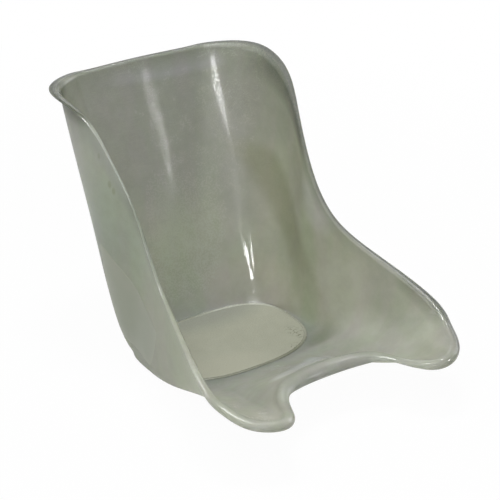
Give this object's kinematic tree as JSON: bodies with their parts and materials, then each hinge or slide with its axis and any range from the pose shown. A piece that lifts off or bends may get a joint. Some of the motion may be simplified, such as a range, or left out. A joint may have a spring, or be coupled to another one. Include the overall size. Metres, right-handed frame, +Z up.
{
  "type": "kart racing seat",
  "caption": "Moulded glass-fibre kart seat shell with a flat pan, thigh horns, wrap-round sides, a reclined back and a rolled rim.",
  "frame": {"origin": "middle of the face that the seat rests on, under the pan", "axes": "+Z up; -Y towards the front, the way the sitter faces; +X across the seat, towards the sitter's left"},
  "size_m": [0.4482, 0.6263, 0.4327],
  "materials": {
    "shell_laminate": "gloss",
    "floor_ply": "satin",
    "bead_resin": "gloss",
    "doubler_ply": "satin"
  },
  "bodies": {
    "root": {"seat_shell": "shell_laminate", "floor_panel": "floor_ply", "resin_bead": "bead_resin", "base_doubler": "doubler_ply", "hip_doubler_left": "doubler_ply", "hip_doubler_right": "doubler_ply"}
  },
  "joints": []
}
